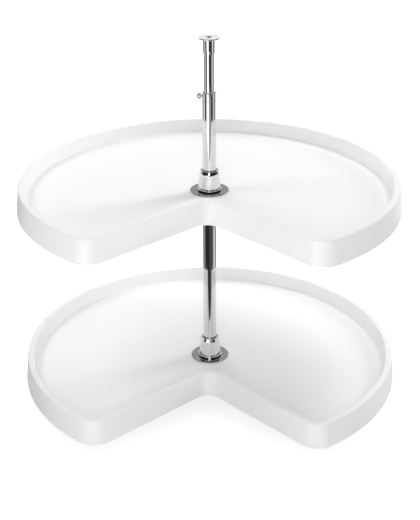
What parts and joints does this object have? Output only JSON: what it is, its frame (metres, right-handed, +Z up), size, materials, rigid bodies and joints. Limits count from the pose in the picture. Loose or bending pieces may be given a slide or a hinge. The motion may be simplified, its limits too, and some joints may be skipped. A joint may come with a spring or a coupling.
{
  "type": "kidney corner carousel",
  "caption": "Two kidney-shaped trays that turn separately on a telescoping chrome post, for a corner base cabinet.",
  "frame": {"origin": "on the post's axis at the underside of the foot, where it stands on the cabinet floor", "axes": "+Z up along the post, -Y from the post through the middle of the trays' notch, +X to the right as seen from the notch"},
  "size_m": [0.7112, 0.645, 0.6958],
  "materials": {
    "white_plastic": "moulded, satin",
    "post_chrome": "polished",
    "hub_chrome": "polished",
    "zinc_plate": "zinc plated",
    "screw_steel": "plated",
    "nylon": "natural"
  },
  "bodies": {
    "base": {"floor_flange": "zinc_plate", "foot_set_screw": "screw_steel", "main_tube": "post_chrome", "lock_ferrule": "post_chrome"},
    "thumb_screw": {"thumb_screw": "post_chrome"},
    "inner_post": {"inner_tube": "post_chrome", "tube_end_bush": "nylon", "top_socket": "post_chrome", "top_flange": "post_chrome"},
    "lower_carrier": {"lower_support_collar": "zinc_plate", "lower_collar_screw": "screw_steel", "lower_thrust_washer": "nylon"},
    "lower_shelf": {"lower_tray": "white_plastic", "lower_hub_flange": "hub_chrome", "lower_hub_cap": "hub_chrome", "lower_bearing_bush": "nylon", "lower_hub_nut": "zinc_plate"},
    "upper_carrier": {"upper_support_collar": "zinc_plate", "upper_collar_screw": "screw_steel", "upper_thrust_washer": "nylon"},
    "upper_shelf": {"upper_tray": "white_plastic", "upper_hub_flange": "hub_chrome", "upper_hub_cap": "hub_chrome", "upper_bearing_bush": "nylon", "upper_hub_nut": "zinc_plate"}
  },
  "joints": [
    {"name": "post_extend", "type": "slide", "parent": "base", "child": "inner_post", "axis": [0, 0, 1], "range_m": [-0.06, 0.09]},
    {"name": "thumb_screw_turn", "type": "hinge", "parent": "base", "child": "thumb_screw", "pos_m": [0, 0, 0.5863], "axis": [-1, 0, 0], "range_deg": [0, 540]},
    {"name": "lower_shelf_height", "type": "slide", "parent": "base", "child": "lower_carrier", "axis": [0, 0, 1], "range_m": [0, 0.06]},
    {"name": "lower_shelf_turn", "type": "hinge", "parent": "lower_carrier", "child": "lower_shelf", "pos_m": [0, 0, 0.036], "axis": [0, 0, 1], "continuous": true},
    {"name": "upper_shelf_height", "type": "slide", "parent": "base", "child": "upper_carrier", "axis": [0, 0, 1], "range_m": [-0.1, 0.1]},
    {"name": "upper_shelf_turn", "type": "hinge", "parent": "upper_carrier", "child": "upper_shelf", "pos_m": [0, 0, 0.382], "axis": [0, 0, 1], "continuous": true}
  ]
}
